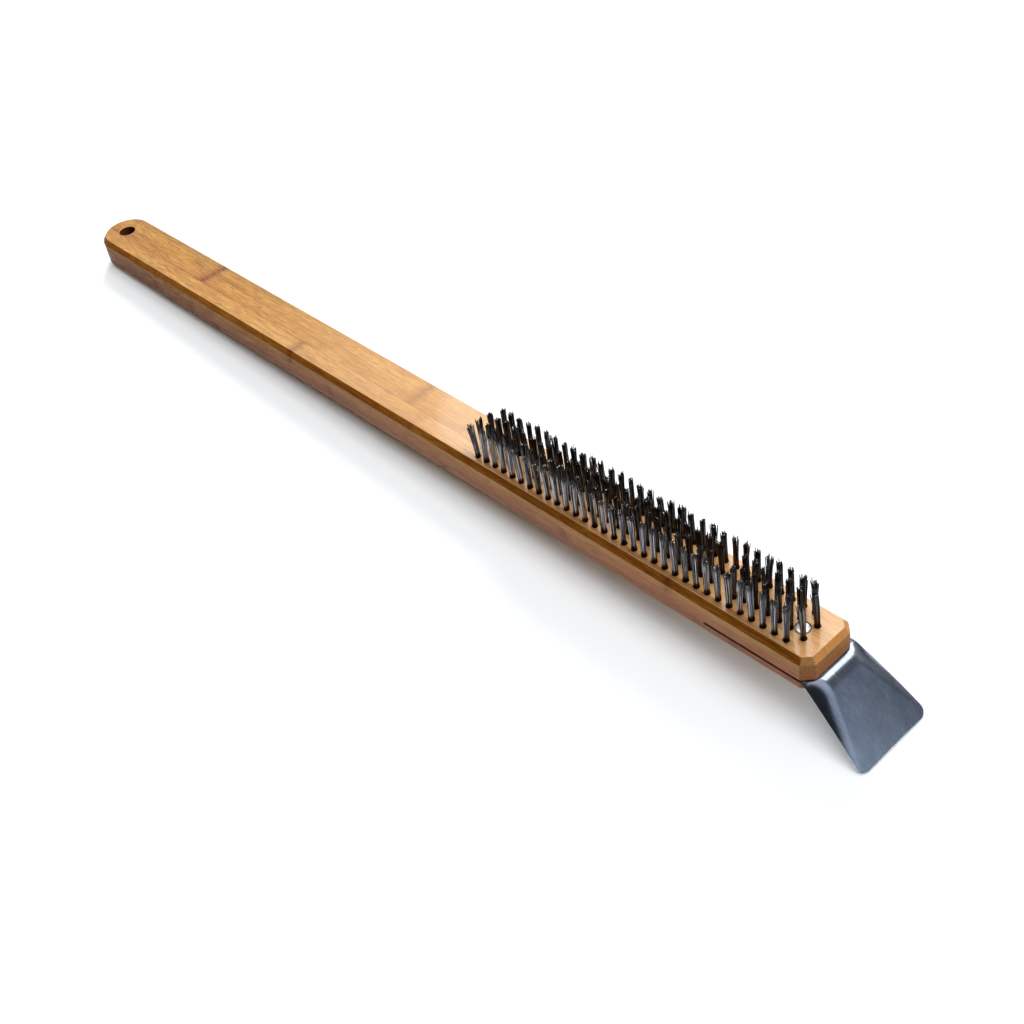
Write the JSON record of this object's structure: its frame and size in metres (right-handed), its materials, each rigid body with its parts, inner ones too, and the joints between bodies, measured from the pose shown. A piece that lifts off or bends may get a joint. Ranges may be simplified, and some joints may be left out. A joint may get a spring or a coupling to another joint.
{
  "type": "grill cleaning brush",
  "caption": "Long laminated bamboo grill brush with rows of steel wire tufts and a bent stainless scraper riveted in a slot at the front end.",
  "frame": {"origin": "on the axis of the hanging hole, at half the bar's thickness", "axes": "+X along the bar towards the scraper, +Y across the bar, +Z out of the bristle face"},
  "size_m": [0.6808, 0.0496, 0.0673],
  "materials": {
    "bamboo_face": "clear gloss lacquer over caramelised bamboo, fine lengthwise fibres",
    "bamboo_core": "clear lacquer, darker and browner on the sides",
    "scraper_steel": "brushed stainless sheet, grain along the blade",
    "rivet_metal": "bright, slightly domed",
    "bristle_wire": "dark tempered wire with grey highlights",
    "anchor_wire": "flat drawn wire"
  },
  "bodies": {
    "root": {"upper_near_strip": "bamboo_face", "upper_far_strip": "bamboo_face", "middle_near_strip": "bamboo_core", "middle_far_strip": "bamboo_core", "lower_near_strip": "bamboo_core", "lower_far_strip": "bamboo_core", "scraper_blade": "scraper_steel", "front_rivet_upper_half": "rivet_metal", "front_rivet_lower_half": "rivet_metal", "rear_rivet_upper_half": "rivet_metal", "rear_rivet_lower_half": "rivet_metal", "bristle_row_1": "bristle_wire", "bristle_row_2": "bristle_wire", "bristle_row_3": "bristle_wire", "bristle_row_4": "bristle_wire", "bristle_end_pair": "bristle_wire", "anchors_row_1": "anchor_wire", "anchors_row_2": "anchor_wire", "anchors_row_3": "anchor_wire", "anchors_row_4": "anchor_wire", "anchors_end_pair": "anchor_wire"}
  },
  "joints": []
}
